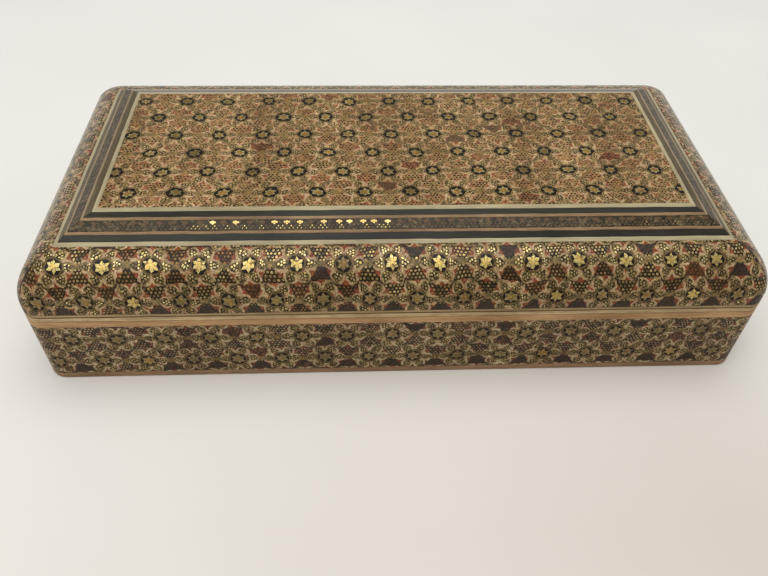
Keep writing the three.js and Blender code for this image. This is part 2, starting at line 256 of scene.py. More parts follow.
# The fine khatam band, measured across it from its lower edge: three-lobed spots, each lobe
# set off sideways and upwards, above two rows of dots
SPOT_PITCH = 3.95
SPOT_HEIGHT = 2.85
SPOT_SLIP = 1.1
SPOT_LOBES = [(0.62, 0.0), (0.0, -0.45), (0.0, 0.2)]
LOBE_RADIUS = 0.34
BAND_DOT_PITCH = 1.32
BAND_DOT_HEIGHTS = (1.6, 0.8)
BAND_DOT_RADIUS = 0.2

# Where the spots of the fine band are painted glinting in the window's light, measured along it
# from its middle
PAINTED_GLINT_MIDDLE = -29
PAINTED_GLINT_REACH = 36
PAINTED_GLINT_EDGE = 12

# The lacquer's coat: thin where it has worn, thicker on the khatam of the lid's ends and back
# and on the strips at the back. Strips are named for their grain, or for the back.
THIN_COAT = 0.08
END_COAT = 0.55
STRIP_COATS = {"x": THIN_COAT, "y": THIN_COAT, "back": 0.6}

# The lid's lower strips are darkened up to this height: painted shade of the seam gap, and dirt
SEAM_SHADE_AND_DIRT_HEIGHT = BODY_HEIGHT + SEAM_GAP + 0.3

# The camera, in the photograph's frame of 768 by 576 pixels. Its turns are in degrees and its
# place is in metres.
PHOTO_WIDTH = 768
FOCAL_PIXELS = 703.99
CAMERA_PITCH = 45.870
CAMERA_YAW = 3.606
CAMERA_ROLL = 1.798
CAMERA_PLACE = (-0.01517, -0.21125, 0.19785)
SENSOR_WIDTH = 36

# The table and the window's soft light, in metres and watts
TABLE_HALF = 2.0
TABLE_CELLS = 8
WINDOW_PLACE = (-0.08, -0.12, 1.0)
WINDOW_TARGET = (-0.02, -0.02, 0.0)
WINDOW_SIZE = (0.8, 1.4)
WINDOW_POWER = 9.6

# The room's light, by direction: an even part, and a brighter band low behind the box
ROOM_LIGHT = 0.36
ROOM_BAND_LIGHT = 0.6
ROOM_BAND_PLACE = 0.12
ROOM_BAND_FALL = 3.2

# The sides of the box: which way each runs, and which way it faces
SIDES = {
    "front": ((1, 0), (0, -1)),
    "right": ((0, 1), (1, 0)),
    "back": ((-1, 0), (0, 1)),
    "left": ((0, -1), (-1, 0)),
}
SIDES_WITHOUT_HINGES = ("front", "right", "left")

# The strips of a side: their grain runs along X or Y, and those at the back are duller
STRIPS_OF = {"front": "x", "right": "y", "back": "back", "left": "y"}

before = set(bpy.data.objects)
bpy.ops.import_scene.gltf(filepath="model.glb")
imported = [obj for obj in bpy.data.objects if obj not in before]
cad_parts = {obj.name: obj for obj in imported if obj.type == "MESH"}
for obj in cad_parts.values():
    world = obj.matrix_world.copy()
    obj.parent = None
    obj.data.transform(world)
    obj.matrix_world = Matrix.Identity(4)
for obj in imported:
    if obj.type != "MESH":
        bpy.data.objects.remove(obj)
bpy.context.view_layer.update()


def shade(red, green, blue):
    """A colour from its 0 to 255 values, as the linear colour that a socket takes."""
    linear = []
    for part in (red, green, blue):
        share = part / 255
        linear.append(share / 12.92 if share <= 0.04045 else ((share + 0.055) / 1.055) ** 2.4)
    return (*linear, 1)


class Value:
    """A socket of a finish. Sums written on it add Math nodes to that finish."""

    def __init__(self, finish, socket):
        self.finish = finish
        self.socket = socket

    def math(self, operation, *others):
        return self.finish.math(operation, self, *others)

    def __add__(self, other):
        return self.math("ADD", other)

    __radd__ = __add__

    def __sub__(self, other):
        return self.math("SUBTRACT", other)

    def __rsub__(self, other):
        return self.finish.math("SUBTRACT", other, self)

    def __mul__(self, other):
        return self.math("MULTIPLY", other)

    __rmul__ = __mul__

    def __truediv__(self, other):
        return self.math("DIVIDE", other)

    def __lt__(self, other):
        return self.math("LESS_THAN", other)

    def __gt__(self, other):
        return self.math("GREATER_THAN", other)

    def __abs__(self):
        return self.math("ABSOLUTE")

    def at_least(self, other):
        return self.math("MAXIMUM", other)

    def at_most(self, other):
        return self.math("MINIMUM", other)

    def nearest_whole(self):
        return self.math("ROUND")

    def sign(self):
        return self.math("SIGN")

    def root(self):
        return self.math("SQRT")


class Finish:
    """A material whose nodes are added one call at a time."""

    def __init__(self, name):
        self.material = bpy.data.materials.new(name)
        self.material.use_nodes = True
        self.tree = self.material.node_tree
        self.tree.nodes.clear()

    @classmethod
    def of_tree(cls, tree):
        """Nodes added to a tree that stands already, the world's for one."""
        made = cls.__new__(cls)
        made.tree = tree
        return made

    def node(self, kind, settings, inputs, output=0):
        made = self.tree.nodes.new(kind)
        for key, value in settings.items():
            if key == "stops":
                for index, (position, colour) in enumerate(value):
                    ramp = made.color_ramp.elements
                    stop = ramp[index] if index < 2 else ramp.new(position)
                    stop.position = position
                    stop.color = colour
            else:
                setattr(made, key, value)
        for key, value in inputs.items():
            if isinstance(value, Value):
                self.tree.links.new(value.socket, made.inputs[key])
            else:
                made.inputs[key].default_value = value
        return Value(self, made.outputs[output])

    def math(self, operation, *values):
        return self.node("ShaderNodeMath", {"operation": operation}, dict(enumerate(values)))

    def choose(self, share, low, high):
        """A number between low and high, by a share from 0 to 1."""
        return self.node("ShaderNodeMix", {"data_type": "FLOAT"}, {0: share, 2: low, 3: high})

    def colour(self, share, low, high):
        """A colour between low and high, by a share from 0 to 1."""
        return self.node("ShaderNodeMix", {"data_type": "RGBA"}, {0: share, 6: low, 7: high}, 2)

    def tint(self, share, colour, other, blend="MULTIPLY"):
        """A colour multiplied by another, by a share from 0 to 1."""
        settings = {"data_type": "RGBA", "blend_type": blend}
        return self.node("ShaderNodeMix", settings, {0: share, 6: colour, 7: other}, 2)

    def parts(self, vector):
        """The three numbers of a vector."""
        made = self.tree.nodes.new("ShaderNodeSeparateXYZ")
        self.tree.links.new(vector.socket, made.inputs[0])
        return [Value(self, made.outputs[index]) for index in range(3)]

    def vector(self, x, y, z):
        return self.node("ShaderNodeCombineXYZ", {}, {0: x, 1: y, 2: z})

    def sheet_place(self):
        """Distances in millimetres along and across a sheet, from its own map."""
        return self.parts(self.node("ShaderNodeUVMap", {"uv_map": "sheet_mm"}, {}))[:2]

    def object_place(self):
        """The point's place in the box's frame, in millimetres."""
        place = self.node("ShaderNodeTexCoord", {}, {}, 3)
        scaled = self.node(
            "ShaderNodeVectorMath", {"operation": "SCALE"}, {0: place, 3: 1000}
        )
        return self.parts(scaled)

    def mottle(self, vector, size, detail=2.0, roughness=0.5):
        """Soft noise from 0 to 1 whose patches are about size millimetres across."""
        inputs = {"Vector": vector, "Scale": 1 / size, "Detail": detail, "Roughness": roughness}
        return self.node("ShaderNodeTexNoise", {}, inputs)

    def three_mottles(self, vector, size, detail):
        """Three soft noises from 0 to 1, each with its own patches."""
        inputs = {"Vector": vector, "Scale": 1 / size, "Detail": detail}
        return self.parts(self.node("ShaderNodeTexNoise", {}, inputs, 1))

    def chance(self, vector):
        """Three numbers from 0 to 1 that are the same wherever the vector is the same."""
        settings = {"noise_dimensions": "3D"}
        colour = self.node("ShaderNodeTexWhiteNoise", settings, {0: vector}, 1)
        return self.parts(colour)

    def rods(self, vector, width, unevenness=1.0):
        """The rods that a sheet is glued from: the distance in millimetres from the middle
        of the nearest one, and that one's own colour."""
        inputs = {"Vector": vector, "Scale": 1 / width, "Randomness": unevenness}
        distance = self.node("ShaderNodeTexVoronoi", {}, inputs)
        return distance * width, Value(self, distance.socket.node.outputs[1])

    def ramp(self, share, stops):
        return self.node("ShaderNodeValToRGB", {"stops": stops}, {0: share})

    def surface(self, colour, roughness, relief=None, depth=0.02, metallic=0.0, fixed=None):
        """Ends the finish with its shader. The relief's depth is in millimetres."""
        inputs = {"Base Color": colour, "Roughness": roughness, "Metallic": metallic}
        inputs.update(fixed or {})
        if relief is not None:
            bump = {"Strength": 1.0, "Distance": depth * MM, "Height": relief}
            inputs["Normal"] = self.node("ShaderNodeBump", {}, bump)
        shader = self.node("ShaderNodeBsdfPrincipled", {}, inputs)
        output = self.tree.nodes.new("ShaderNodeOutputMaterial")
        self.tree.links.new(shader.socket, output.inputs[0])
        return self.material


def lacquer(coat):
    """What the shader takes for old lacquer, the same all over a piece."""
    return {
        "Specular IOR Level": 0.12, "Coat Weight": coat, "Coat Roughness": 0.16, "Coat IOR": 1.5,
    }


def nearest_square(along, beside, spots):
    """The squared distance to the nearest of several spots."""
    nearest = None
    for spot_along, spot_beside in spots:
        off_along = along - spot_along
        off_beside = beside - spot_beside
        square = off_along * off_along + off_beside * off_beside
        nearest = square if nearest is None else nearest.at_most(square)
    return nearest


def nearest_star(made, u, v):
    """The nearest star's column and row, and the place from its middle: across, up and the
    squared distance. Stars of every other row stand half a pitch aside."""
    grids = []
    for shift in (0.0, 0.5):
        column = (u / STAR_PITCH - shift).nearest_whole() + shift
        row = (v / (2 * ROW_PITCH) - shift).nearest_whole() + shift
        across = u - column * STAR_PITCH
        up = v - row * (2 * ROW_PITCH)
        grids.append((column, row, across, up, across * across + up * up))
    is_second = grids[1][4] < grids[0][4]
    return [made.choose(is_second, one, other) for one, other in zip(*grids)]


def dots_of_grid(u, v, pitch, radius):
    """Small dots on a triangular grid."""
    squares = []
    for shift in (0.0, 0.5):
        grid_u = u / pitch - shift
        grid_v = v / (ROOT_3 * pitch) - shift
        off_u = (grid_u - grid_u.nearest_whole()) * pitch
        off_v = (grid_v - grid_v.nearest_whole()) * (ROOT_3 * pitch)
        squares.append(off_u * off_u + off_v * off_v)
    return squares[0].at_most(squares[1]) < radius**2


class Khatam(Finish):
    """Khatam marquetry, read from a sheet's own map. Each small brass star stands in a dark
    ring with six clusters of brass dots round it, each in a pale loop. Between the loops of
    three stars lies a dotted field with red tips. Each layer covers those laid before it."""

    def __init__(self, name, look):
        super().__init__(name)
        self.look = look
        self.tones = {key: shade(*tone) for key, tone in look["tones"].items()}
        self.layers = []
        plain_u, plain_v = self.sheet_place()
        place = self.vector(plain_u, plain_v, 0.0)
        self.rod_colour = self.rods(place, ROD_WIDTH)[1]
        self.rod = self.parts(self.rod_colour)
        self.speck_distance, speck_colour = self.rods(place, SPECK_PITCH, 0.7)
        self.speck = self.parts(speck_colour)
        self.fine = self.mottle(place, 0.55)
        self.broad = self.mottle(place, 14.0)
        self.blotch = self.mottle(place, BLOTCH_SIZE)

        # Nothing in the sheet is quite straight, and the strips that it is glued from have
        # slipped a little past each other
        warp = self.three_mottles(place, WARP_LENGTH, 1.0)
        drift = self.three_mottles(place, DRIFT_LENGTH, 0.0)
        self.even_u = plain_u + (drift[0] - 0.5) * DRIFT_REACH
        strip_number = (self.even_u / STRIP_WIDTH).nearest_whole()
        self.strip_chance = self.chance(self.vector(strip_number, 7.0, 0.0))
        slip = (self.strip_chance[1] - 0.5) * STRIP_SLIP
        self.even_v = plain_v + (drift[1] - 0.5) * DRIFT_REACH + slip
        self.u = self.even_u + (warp[0] - 0.5) * WARP_REACH
        self.v = self.even_v + (warp[1] - 0.5) * WARP_REACH
        self.measure_star((warp[2] - 0.5) * LOOP_RAGGED)
        self.measure_field()

    def measure_star(self, ragged):
        """Distances from the nearest star: towards its points, and towards the gaps between
        them, where a loop lies round each of its six clusters."""
        star = nearest_star(self, self.u, self.v)
        self.column, self.row, self.across, self.up, self.square = star
        x = abs(self.across)
        y = abs(self.up)
        self.to_point = y.at_least(x * SINE_60 + y * 0.5)
        self.beside_point = (self.square - self.to_point * self.to_point).at_least(0).root()
        self.to_gap = x.at_least(x * 0.5 + y * SINE_60)
        self.beside_gap = (self.square - self.to_gap * self.to_gap).at_least(0).root()
        self.star_chance = self.chance(self.vector(self.column, self.row, 3.0))
        beyond = self.to_gap - LOOP_PLACE
        self.from_loop = (beyond * beyond + self.beside_gap * self.beside_gap).root() + ragged
        self.outside = 1 - (self.from_loop < LOOP_REACH)

    def measure_field(self):
        """The dotted field next to this place, which lies between the loops of three stars."""
        x = abs(self.across)
        y = abs(self.up)
        side_x = STAR_PITCH / 2 - x
        top_y = ROW_PITCH - y
        is_top = (x * x + top_y * top_y) < (side_x * side_x + y * y)
        self.in_field = self.choose(is_top, y, top_y) > WAIST_HALF
        column = self.column + (1 - is_top) * self.across.sign() * 0.5
        row = self.row + is_top * self.up.sign() * 0.5
        upper = self.choose(is_top, self.up.sign(), 0 - self.up.sign())
        self.field_chance = self.chance(self.vector(column, row, upper))

    def lay(self, mask, laid, metallic=0.0):
        self.layers.append((mask, laid, metallic))

    def tone_by_chance(self, share, key):
        return self.ramp(share, [(stop, shade(*tone)) for stop, tone in self.look[key]])

    def field(self, has_fades):
        """A field's tone and its metal: dots on another wood, some fields faded to a plain
        violet brown."""
        look = self.look
        chance = self.field_chance
        is_dot = dots_of_grid(self.even_u, self.even_v, look["dot_pitch"], look["dot_radius"])
        ground = self.tone_by_chance(chance[0], "field_ground")
        dot_tone = self.tone_by_chance(chance[1], "field_dots")
        faded = chance[2] > look["faded_from"]
        if has_fades:
            upper_fades = (self.v < FADED_ABOVE[0]) * (chance[2] > FADED_ABOVE[1])
            lower_fades = (self.v > FADED_BELOW[0]) * (chance[2] > FADED_BELOW[1])
            faded = faded.at_least(upper_fades).at_least(lower_fades)
        dim_dot = (1 - faded * 0.8) * (1 - (self.speck[1] > 0.62) * 0.75)
        tone = self.colour(is_dot * dim_dot, ground, dot_tone)
        tone = self.colour(faded * 0.7, tone, shade(*look["faded"]))
        return tone, is_dot * (1 - faded) * (self.speck[1] < look["field_glints"])

    def lay_fields(self, has_fades):
        """Specks in the ground, the pale waists of the fields, then the fields with their
        red tips."""
        look = self.look
        tones = self.tones
        is_speck = (self.speck_distance < look["speck_radius"]) * (self.speck[0] > 0.2)
        self.lay(is_speck * look["speckled"], tones["speck"])
        self.lay(self.outside * (1 - self.in_field) * 0.7, tones["band"])
        in_field = self.outside * self.in_field
        self.lay(in_field, *self.field(has_fades))
        paling = self.blotch * 0.6 + self.rod[1] * 0.4
        in_tip = (self.to_point < RED_TIP_END) * (self.beside_point < RED_TIP_HALF)
        red = self.colour(paling, tones["red"], tones["pale_red"])
        self.lay(in_field * in_tip * look["redness"], red)

    def lay_loops(self):
        """The loops are pale beside the red tips, and fade away from them."""
        in_rim = (1 - self.outside) * (self.from_loop > LOOP_REACH - LOOP_WIDTH)
        in_loop = in_rim * (self.to_point > CLUSTER_START)
        near_tip = ((LOOP_PALE_REACH - self.beside_point) * 0.8).at_least(0.25).at_most(1)
        self.lay(in_loop * near_tip, self.tones["wing"])

    def lay_clusters(self):
        """Clusters of brass dots, black between, which narrow outwards from the ring."""
        look = self.look
        tones = self.tones
        slope = look["cluster_half"] / (CLUSTER_END - CLUSTER_START)
        narrowing = (CLUSTER_END - self.to_gap) * slope
        in_cluster = (self.to_gap > CLUSTER_START) * (self.beside_gap < narrowing)
        self.lay(in_cluster * look["gaps"], tones["ring"])
        # Past a place across the sheet more dots are dull: painted shade below the window's
        # glint on the shoulder
        is_dull = self.speck[2] > 0.7 - (self.v > look["painted_shade_past"]) * 0.5
        dot_tone = self.colour(is_dull, tones["dot"], tones["dull_dot"])
        nearest = nearest_square(self.to_gap, self.beside_gap, CLUSTER_DOTS)
        in_dot = nearest < CLUSTER_DOT_RADIUS**2
        self.lay(in_dot, dot_tone, (1 - is_dull) * look["dot_metal"])

    def lay_star(self):
        """The small star in its dark ring."""
        look = self.look
        tones = self.tones
        # On the shoulder fewer stars below the first row are bright: painted shade below the
        # window's glint. Elsewhere, which stars are bright is chance.
        bright = self.choose(self.row > 0.25, look["bright"], look["lower_bright"])
        bright_star = (self.star_chance[0] > 1 - bright) * (self.blotch > 0.4)
        shine = bright_star * look["petal_metal"]
        in_star = (self.to_point + STAR_SHARPNESS * self.beside_point) < look["star_reach"]
        from_star = self.choose(look["roundness"], self.to_point, self.square.root() * 0.95)
        self.lay(from_star < look["ring_reach"] + RING_LINE_WIDTH, tones["line"])
        self.lay(from_star < look["ring_reach"], tones["ring"])
        self.lay(in_star, self.colour(bright_star, tones["dull_petal"], tones["petal"]), shine)
        self.lay(in_star * (self.beside_gap < PETAL_SEAM), tones["line"])
        heart = self.colour(bright_star, tones["dull_heart"], tones["heart"])
        self.lay(in_star * (self.square < STAR_HEART**2), heart, shine)

    def covered(self):
        """The tone and metal of all the layers over the blotched ground."""
        look = self.look
        tones = self.tones
        stops = [(0.38, tones["olive"]), (0.5, tones["ground"]), (0.64, tones["band"])]
        tone = self.ramp(self.blotch, stops)
        metal = 0.0
        has_metal = look["field_glints"] + look["dot_metal"] + look["petal_metal"] > 0
        for mask, laid, metallic in self.layers:
            tone = self.colour(mask, tone, laid)
            if has_metal:
                metal = self.choose(mask, metal, metallic)
        return tone, metal

    def with_joint(self, tone):
        """Where two sheets of the lid meet, their joint has opened a little."""
        x, y = self.object_place()[:2]
        from_end = BOX_LENGTH / 2 - abs(x)
        from_side = BOX_DEPTH / 2 - abs(y - REAR_SHIFT)
        from_joint = abs(from_end - from_side) + (self.blotch - 0.5) * JOINT_RAGGED
        is_open = from_joint < self.look["joint"]
        return self.colour(is_open * 0.85, tone, shade(58, 42, 26))

    def aged(self, tone):
        """Uneven rods and strips, and darker patches."""
        white = shade(255, 255, 255)
        rod_stops = [(0.0, shade(120, 112, 96)), (1.0, shade(232, 228, 220))]
        rod_tint = self.colour(0.2, self.ramp(self.rod[0], rod_stops), self.rod_colour)
        tone = self.tint(0.6, tone, rod_tint, "OVERLAY")
        fine = self.ramp(self.fine, [(0.3, shade(172, 170, 166)), (0.7, white)])
        strip = self.ramp(self.strip_chance[0], [(0.0, shade(216, 212, 205)), (1.0, white)])
        broad = self.ramp(self.broad, [(0.3, shade(214, 206, 196)), (0.7, white)])
        for share, patches in ((0.9, fine), (0.8, strip), (0.8, broad)):
            tone = self.tint(share, tone, patches)
        return tone


def khatam_finish(name, look, coat, has_fades):
    """A khatam sheet of one look, under its lacquer."""
    made = Khatam(name, look)
    made.lay_fields(has_fades)
    made.lay_loops()
    made.lay_clusters()
    made.lay_star()
    tone, metal = made.covered()
    if look["joint"]:
        tone = made.with_joint(tone)
    roughness = 0.33 + made.fine * 0.14 + made.star_chance[1] * 0.05
    return made.surface(made.aged(tone), roughness, made.fine, 0.012, metal, lacquer(coat))


def grain_finish(name, along, light, dark, roughness, ring, stretch, fixed=None, shade_and_dirt_below=0):
    """Wood or bone whose grain runs along X or Y, darkened along its edge below a height with
    painted shade of the seam gap and dirt.
    """
    made = Finish(name)
    x, y, z = made.object_place()
    if along == "x":
        long, wide = x, y
    else:
        long, wide = y, x
    drift = made.mottle(made.vector(long / 30, wide / 30, z / 30), 1.0)
    grain = made.mottle(made.vector(long / stretch, wide + drift * 4, z), ring, 4.0, 0.6)
    fibre = made.mottle(made.vector(long / stretch, wide, z), ring * 0.22, 2.0, 0.6)
    cloud = made.mottle(made.vector(long, wide, z), 22.0)
    share = grain * 0.5 + fibre * 0.5
    tone = made.ramp(share, [(0.32, dark), (0.66, light)])
    worn = made.ramp(cloud, [(0.3, shade(208, 204, 200)), (0.7, shade(255, 255, 255))])
    tone = made.tint(0.8, tone, worn)
    # Below the height the tone is darkened in patches: painted shade of the seam gap, and dirt
    if shade_and_dirt_below:
        shade_and_dirt = (z < shade_and_dirt_below + fibre * 0.2) * (0.4 + cloud * 0.8)
        tone = made.tint(shade_and_dirt.at_most(1), tone, shade(110, 84, 56))
    rough = roughness + fibre * 0.14
    return made.surface(tone, rough, share, 0.03, 0.0, fixed)


def velvet_finish(name):
    """Velvet pile, brushed a little this way and that."""
    made = Finish(name)
    x, y, z = made.object_place()
    place = made.vector(x, y, z)
    brushed = made.mottle(place, 14.0, 3.0)
    pile = made.mottle(place, 0.35, 2.0)
    share = brushed * 0.6 + pile * 0.4
    tone = made.ramp(share, [(0.2, shade(74, 10, 20)), (0.8, shade(124, 24, 38))])
    fixed = {"Sheen Weight": 0.6, "Sheen Roughness": 0.35, "Sheen Tint": shade(220, 120, 130)}
    return made.surface(tone, 0.82 + pile * 0.1, pile, 0.12, 0.0, fixed)


def brass_finish(name):
    """Plain brass, dulled in patches and finely scratched along the hinge."""
    made = Finish(name)
    x, y, z = made.object_place()
    dull = made.mottle(made.vector(x, y, z), 3.0, 3.0)
    scratch = made.mottle(made.vector(x / 14, y, z), 0.3, 2.0)
    tone = made.ramp(dull, [(0.3, shade(150, 116, 58)), (0.7, shade(212, 172, 92))])
    return made.surface(tone, 0.26 + dull * 0.16 + scratch * 0.08, scratch, 0.01, 1.0)


def fine_khatam_finish(name, glint_reach, coat):
    """The narrow dark band: rows of tiny dots, with three-lobed spots on its upper edge. Spots
    and dots are painted glinting where the window's light falls.
    """
    made = Finish(name)
    u, v = made.sheet_place()
    place = made.vector(u, v, 0.0)
    fine = made.mottle(place, 0.45)
    broad = made.mottle(place, 9.0)
    rod = made.parts(made.rods(place, 0.8)[1])
    rod_stops = [(0.0, shade(48, 42, 26)), (0.8, shade(88, 76, 50)), (1.0, shade(130, 114, 82))]
    tone = made.ramp(rod[0], rod_stops)
    tone = made.tint((broad - 0.4) * 2.5, tone, shade(206, 182, 172))

    # Spots are painted bright where the window's glint falls on the band, and fewer are towards
    # its edges
    number = (u / SPOT_PITCH).nearest_whole()
    luck = made.chance(made.vector(number, 1.0, 0.0))
    off = abs(u - number * SPOT_PITCH - (luck[1] - 0.5) * SPOT_SLIP)
    spot = nearest_square(off, v - SPOT_HEIGHT, SPOT_LOBES) < LOBE_RADIUS**2
    in_painted_glint = ((glint_reach - abs(u - PAINTED_GLINT_MIDDLE)) / PAINTED_GLINT_EDGE).at_least(0).at_most(1)
    is_painted_glint = luck[0] > 0.97 - in_painted_glint * 0.67

    # Two rows of dots, the lower one half a pitch aside
    squares = []
    for shift, height in zip((0.0, 0.5), BAND_DOT_HEIGHTS):
        grid = u / BAND_DOT_PITCH - shift
        dot_off = (grid - grid.nearest_whole()) * BAND_DOT_PITCH
        squares.append(dot_off * dot_off + (v - height) * (v - height))
    dot = squares[0].at_most(squares[1]) < BAND_DOT_RADIUS**2
    dot_luck = made.chance(made.vector((u / BAND_DOT_PITCH).nearest_whole(), 5.0, 0.0))
    # Painted glints on the dots too, more where the window's glint falls on the band
    dot_painted_glint = dot * (dot_luck[0] > 0.97 - in_painted_glint * 0.3)

    tone = made.colour(dot, tone, shade(120, 104, 76))
    tone = made.colour(spot, tone, shade(112, 84, 56))
    glint_tone = made.colour(luck[2], shade(196, 164, 98), shade(236, 208, 134))
    tone = made.colour(spot * is_painted_glint, tone, glint_tone)
    tone = made.colour(dot_painted_glint, tone, shade(206, 180, 110))
    metal = (spot * is_painted_glint).at_least(dot_painted_glint)
    uneven = made.ramp(fine, [(0.3, shade(180, 178, 175)), (0.7, shade(255, 255, 255))])
    tone = made.tint(0.9, tone, uneven)
    return made.surface(tone, 0.3 + fine * 0.14, fine, 0.012, metal, lacquer(coat))


def floor_finish(name):
    """A plain pale table top with painted shade: a little darker and warmer towards the front,
    and darker to the front right.
    """
    made = Finish(name)
    x, y, z = made.object_place()
    # Painted shade: a little darker and warmer towards the front
    share = (y + 260) / 900
    tone = made.ramp(share, [(0.0, shade(234, 228, 220)), (0.6, shade(238, 238, 231))])
    cloud = made.mottle(made.vector(x, y, z), 120.0)
    pale = made.ramp(cloud, [(0.3, shade(250, 250, 250)), (0.7, shade(255, 255, 255))])
    tone = made.tint(1.0, tone, pale)
    # Painted shade, darker towards the front right
    to_front = (0.0 - y / 120).at_least(0).at_most(1)
    to_right = (x / 240 + 0.6).at_least(0).at_most(1)
    tone = made.tint(to_front * to_right, tone, shade(236, 232, 228))
    return made.surface(tone, 0.9)


def corner_radius(inset):
    return max(CORNER_RADIUS - inset, MITRE_RADIUS)


def side_run(side):
    """How long a side of the box is."""
    return BOX_LENGTH if side in ("front", "back") else BOX_DEPTH


def side_stations(side, step):
    """Places along a side from mitre to mitre: a share of its straight run, and a turn
    round the corner in radians."""
    count = max(2, round(side_run(side) / step))
    turns = [math.pi / 4 * (1 - index / CORNER_TURNS) for index in range(CORNER_TURNS)]
    start = [(-1.0, -turn) for turn in turns]
    middle = [(-1 + 2 * index / count, 0.0) for index in range(count + 1)]
    end = [(1.0, turn) for turn in reversed(turns)]
    return start + middle + end


def side_place(side, station, inset, z, radius=None):
    """A point of a side in metres, and how far along the side it is in millimetres."""
    share, turn = station
    along, out = SIDES[side]
    half_run = side_run(side) / 2
    half_reach = (BOX_LENGTH + BOX_DEPTH) / 2 - half_run
    radius = corner_radius(inset) if radius is None else radius
    straight = share * (half_run - inset - radius)
    run = straight + radius * math.sin(turn)
    reach = half_reach - inset - radius + radius * math.cos(turn)
    x = along[0] * run + out[0] * reach
    y = along[1] * run + out[1] * reach + REAR_SHIFT
    return (x * MM, y * MM, z * MM), straight + radius * turn


def rounded(corners, reaches, turns=3):
    """An outline with its corners rounded off, each within its own reach."""
    outline = []
    for index, reach in enumerate(reaches):
        point = Vector(corners[index])
        before = Vector(corners[index - 1])
        after = Vector(corners[(index + 1) % len(corners)])
        start = point + (before - point).normalized() * reach
        end = point + (after - point).normalized() * reach
        for turn in range(turns + 1):
            t = turn / turns
            outline.append(tuple(start * (1 - t) ** 2 + point * 2 * t * (1 - t) + end * t**2))
    return outline


def grid_faces(columns, rows):
    """The faces of a grid whose points are laid row by row."""
    line = columns + 1
    starts = [row * line + column for row in range(rows) for column in range(columns)]
    return [(start, start + 1, start + line + 1, start + line) for start in starts]


class Shape:
    """Points, faces, the sheet map of each face's corners and its finish."""

    def __init__(self):
        self.points = []
        self.faces = []
        self.maps = []
        self.finishes = []

    def face(self, corners, places, finish=0):
        self.faces.append(corners)
        self.maps.append(places)
        self.finishes.append(finish)

    def board(self, columns, rows, levels, map_at, facing=1):
        """Fills an empty shape with a board whose face is a grid. The first of the levels
        gives the point of each column and row, and the next ones give those of the rim
        behind it. Facing is 1 for a face that looks up and -1 for one that looks down."""
        line = columns + 1

        def points_of(level, spots):
            return [level(spot % line, spot // line) for spot in spots]

        def add(corners, spots):
            self.face(corners[::facing], points_of(map_at, spots)[::facing])

        self.points = points_of(levels[0], range(line * (rows + 1)))
        for corners in grid_faces(columns, rows):
            add(corners, corners)
        rim = list(range(columns))
        rim += [columns + row * line for row in range(rows)]
        rim += [rows * line + column for column in range(columns, 0, -1)]
        rim += [row * line for row in range(rows, 0, -1)]
        above = rim
        for level in levels[1:]:
            below = [len(self.points) + index for index in range(len(rim))]
            self.points += points_of(level, rim)
            for one in range(len(rim)):
                two = (one + 1) % len(rim)
                corners = (below[one], below[two], above[two], above[one])
                add(corners, (rim[one], rim[two], rim[two], rim[one]))
            above = below
        self.face(tuple(above[::-facing]), [(0.0, 0.0)] * len(above))

    def piece(self, name, body, slot, nodes, materials, sharp_angle=40):
        mesh = bpy.data.meshes.new(name)
        mesh.from_pydata(self.points, [], self.faces)
        layer = mesh.uv_layers.new(name="sheet_mm")
        flat = [number for places in self.maps for place in places for number in place]
        layer.data.foreach_set("uv", flat)
        mesh.polygons.foreach_set("material_index", self.finishes)
        for material in materials:
            mesh.materials.append(material)
        mesh.shade_smooth()
        mesh.set_sharp_from_angle(angle=math.radians(sharp_angle))
        mesh.validate()
        mesh.update()
        made = bpy.data.objects.new(name, mesh)
        bpy.context.scene.collection.objects.link(made)
        weighted = made.modifiers.new("even_shading", "WEIGHTED_NORMAL")
        weighted.keep_sharp = True
        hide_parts(*nodes)
        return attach(made, body)


def sweep_side(shape, side, section_at, step, map_place=None, finish=0):
    """Adds one mitred length whose section may change along the side."""
    stations = side_stations(side, step)
    sections = [section_at(side, station) for station in stations]
    size = len(sections[0])
    first = len(shape.points)
    along = []
    for station, section in zip(stations, sections):
        line = []
        for spot in section:
            point, distance = side_place(side, station, *spot)
            shape.points.append(point)
            line.append(distance)
        along.append(line)
    across = [0.0]
    for index in range(size):
        one = Vector(sections[0][index][:2])
        other = Vector(sections[0][(index + 1) % size][:2])
        across.append(across[-1] + (other - one).length)
    place_of = map_place or (lambda u, v: (u, v))
    for row in range(len(stations) - 1):
        near = first + row * size
        far = near + size
        for index in range(size):
            after = (index + 1) % size
            corners = (near + index, near + after, far + after, far + index)
            places = (
                place_of(along[row][index], across[index]),
                place_of(along[row][after], across[index + 1]),
                place_of(along[row + 1][after], across[index + 1]),
                place_of(along[row + 1][index], across[index]),
            )
            shape.face(corners, places, finish)
    last = first + (len(stations) - 1) * size
    flat = [(0.0, 0.0)] * size
    shape.face(tuple(range(first + size - 1, first - 1, -1)), flat, finish)
    shape.face(tuple(range(last, last + size)), flat, finish)


def steady(section):
    return lambda side, station: section


def rectangle(inset, width, low, high):
    """An upright rectangle's corners, from its outer top edge down and round."""
    return [(inset, high), (inset, low), (inset + width, low), (inset + width, high)]


def grain_of(finishes, name, side):
    return finishes[f"{name}_{STRIPS_OF[side]}"]


def strips(prefix, finish_name, slot, body, low, high, roundings, finishes, sides=SIDES):
    """Mitred lengths round the box, one for each side. The roundings are those of their
    outer upper and lower edges."""
    section = rectangle(0, SHEET_THICKNESS, low, high)
    outline = rounded(section, [*roundings, INNER_ROUNDING, INNER_ROUNDING])
    for side in sides:
        shape = Shape()
        sweep_side(shape, side, steady(outline), STRIP_STEP)
        material = grain_of(finishes, finish_name, side)
        name = f"{prefix}_{side}"
        shape.piece(f"{name}_dressed", body, slot, [name], [material])


